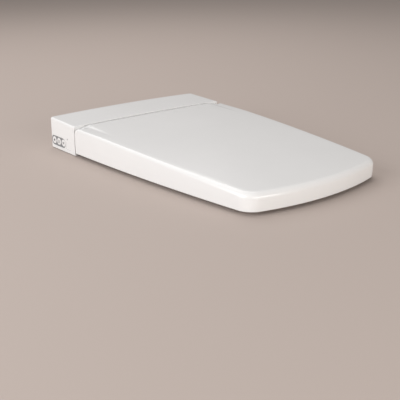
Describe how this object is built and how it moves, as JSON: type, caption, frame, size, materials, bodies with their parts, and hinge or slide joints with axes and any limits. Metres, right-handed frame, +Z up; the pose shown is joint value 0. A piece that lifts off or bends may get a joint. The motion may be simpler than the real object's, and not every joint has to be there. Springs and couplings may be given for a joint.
{
  "type": "electric bidet seat",
  "caption": "Electric bidet seat: fixed rear housing with side keys, heated ring and flat lid on soft-close hinges, sliding spray nozzle and warm-air outlet.",
  "frame": {"origin": "under the middle of the seat, on the plane of the toilet rim that it rests on", "axes": "+Z up, -Y towards the front edge, +Y towards the wall, -X the side with the keys"},
  "size_m": [0.38, 0.6, 0.0673],
  "materials": {
    "gloss_white": "moulded, polished",
    "satin_white": "moulded, satin",
    "grey_plastic": "moulded, fine grain",
    "black_plastic": "moulded, fine grain",
    "panel_grey": "moulded, smooth",
    "smoked_lens": "clear smoked, polished",
    "rubber": "soft moulded",
    "silicone": "soft tube",
    "circuit_board": "lacquered board",
    "heater_foil": "foil",
    "steel": "brushed",
    "brass": "turned",
    "carbon": "pressed granules"
  },
  "bodies": {
    "base": {"air_pump": "black_plastic", "base_pad_1": "rubber", "base_pad_2": "rubber", "base_pad_3": "rubber", "base_pad_4": "rubber", "base_tray": "satin_white", "carbon_filter": "carbon", "control_board": "circuit_board", "cover_screw_1": "steel", "cover_screw_2": "steel", "cover_screw_3": "steel", "cover_screw_4": "steel", "deodoriser_housing": "black_plastic", "dryer_duct": "satin_white", "dryer_grille": "grey_plastic", "dryer_housing": "black_plastic", "dryer_motor": "steel", "hinge_pin_left": "steel", "hinge_pin_right": "steel", "hinge_post_left": "grey_plastic", "hinge_post_right": "grey_plastic", "inlet_hose": "silicone", "lid_damper": "grey_plastic", "mounting_plate": "steel", "nozzle_cradle": "grey_plastic", "nozzle_hose": "silicone", "nozzle_motor": "steel", "panel_bezel": "panel_grey", "power_board": "circuit_board", "power_gland": "black_plastic", "rear_cover": "gloss_white", "receiver_window": "gloss_white", "seat_damper": "grey_plastic", "solenoid_valve": "black_plastic", "status_lens": "smoked_lens", "transformer": "black_plastic", "water_heater": "satin_white", "water_inlet": "brass"},
    "seat": {"seat_top": "gloss_white", "seat_base": "satin_white", "seat_heater": "heater_foil", "seat_bumper_1": "rubber", "seat_bumper_2": "rubber", "seat_bumper_3": "rubber", "seat_bumper_4": "rubber"},
    "lid": {"lid_shell": "gloss_white", "lid_liner": "satin_white", "lid_bumper_1": "rubber", "lid_bumper_2": "rubber", "lid_bumper_3": "rubber", "lid_bumper_4": "rubber"},
    "nozzle": {"nozzle_wand": "steel", "nozzle_tip": "gloss_white", "nozzle_rack": "grey_plastic"},
    "pinion": {"nozzle_pinion": "brass"},
    "fan": {"dryer_impeller": "grey_plastic"},
    "stop_key": {"key_stop": "gloss_white"},
    "wash_key": {"key_wash": "gloss_white"},
    "dry_key": {"key_dry": "gloss_white"},
    "release": {"release_button": "grey_plastic"}
  },
  "joints": [
    {"name": "seat_lift", "type": "hinge", "parent": "base", "child": "seat", "pos_m": [0, 0.191, 0.053], "axis": [1, 0, 0], "range_deg": [-96, 0]},
    {"name": "lid_lift", "type": "hinge", "parent": "seat", "child": "lid", "pos_m": [0, 0.191, 0.053], "axis": [-1, 0, 0], "range_deg": [0, 96]},
    {"name": "nozzle_slide", "type": "slide", "parent": "base", "child": "nozzle", "axis": [0, -0.9848, -0.1736], "range_m": [0, 0.1]},
    {"name": "pinion_spin", "type": "hinge", "parent": "base", "child": "pinion", "pos_m": [0, 0.22244, 0.03856], "axis": [1, 0, 0], "range_deg": [-960, 0]},
    {"name": "fan_spin", "type": "hinge", "parent": "base", "child": "fan", "pos_m": [-0.065, 0.252, 0.02], "axis": [0, 0, 1], "continuous": true},
    {"name": "stop_key_press", "type": "slide", "parent": "base", "child": "stop_key", "axis": [1, 0, 0], "range_m": [0, 0.0012], "stiffness_N_per_m": 300},
    {"name": "wash_key_press", "type": "slide", "parent": "base", "child": "wash_key", "axis": [1, 0, 0], "range_m": [0, 0.0012], "stiffness_N_per_m": 300},
    {"name": "dry_key_press", "type": "slide", "parent": "base", "child": "dry_key", "axis": [1, 0, 0], "range_m": [0, 0.0012], "stiffness_N_per_m": 300},
    {"name": "release_press", "type": "slide", "parent": "base", "child": "release", "axis": [-1, 0, 0], "range_m": [0, 0.0015], "stiffness_N_per_m": 500}
  ],
  "couplings": [
    {"joint": "pinion_spin", "follows": "nozzle_slide", "rad_per_m": -166.67}
  ]
}
